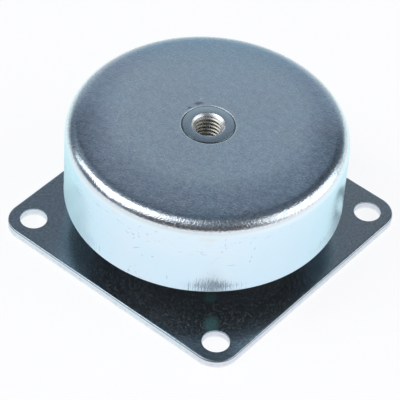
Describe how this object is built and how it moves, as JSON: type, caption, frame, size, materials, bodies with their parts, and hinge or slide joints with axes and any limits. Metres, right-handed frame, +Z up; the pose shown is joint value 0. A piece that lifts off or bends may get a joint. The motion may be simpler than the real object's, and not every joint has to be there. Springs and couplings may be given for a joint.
{
  "type": "cup anti-vibration mount",
  "caption": "Deep-drawn steel cup with a flush threaded bush, carried by a hollow rubber spring bonded to a square base plate with corner fixing holes.",
  "frame": {"origin": "middle of the base plate's underside", "axes": "+Z up along the thread's axis, X and Y along the sides of the square plate"},
  "size_m": [0.0944, 0.0944, 0.044],
  "materials": {
    "zinc_plated_plate": "blue passivated zinc plating, glossy",
    "black_rubber": "moulded, matt",
    "zinc_plated_cup": "blue passivated zinc plating, bright with fine scuffs",
    "turned_steel": "turned and zinc plated"
  },
  "bodies": {
    "base": {"base_plate": "zinc_plated_plate", "rubber_spring": "black_rubber"},
    "cup": {"cup": "zinc_plated_cup", "threaded_bush": "turned_steel"}
  },
  "joints": [
    {"name": "rubber_travel", "type": "slide", "parent": "base", "child": "cup", "axis": [0, 0, 1], "range_m": [-0.008, 0], "stiffness_N_per_m": 120000, "deforming": ["rubber_spring"]}
  ]
}
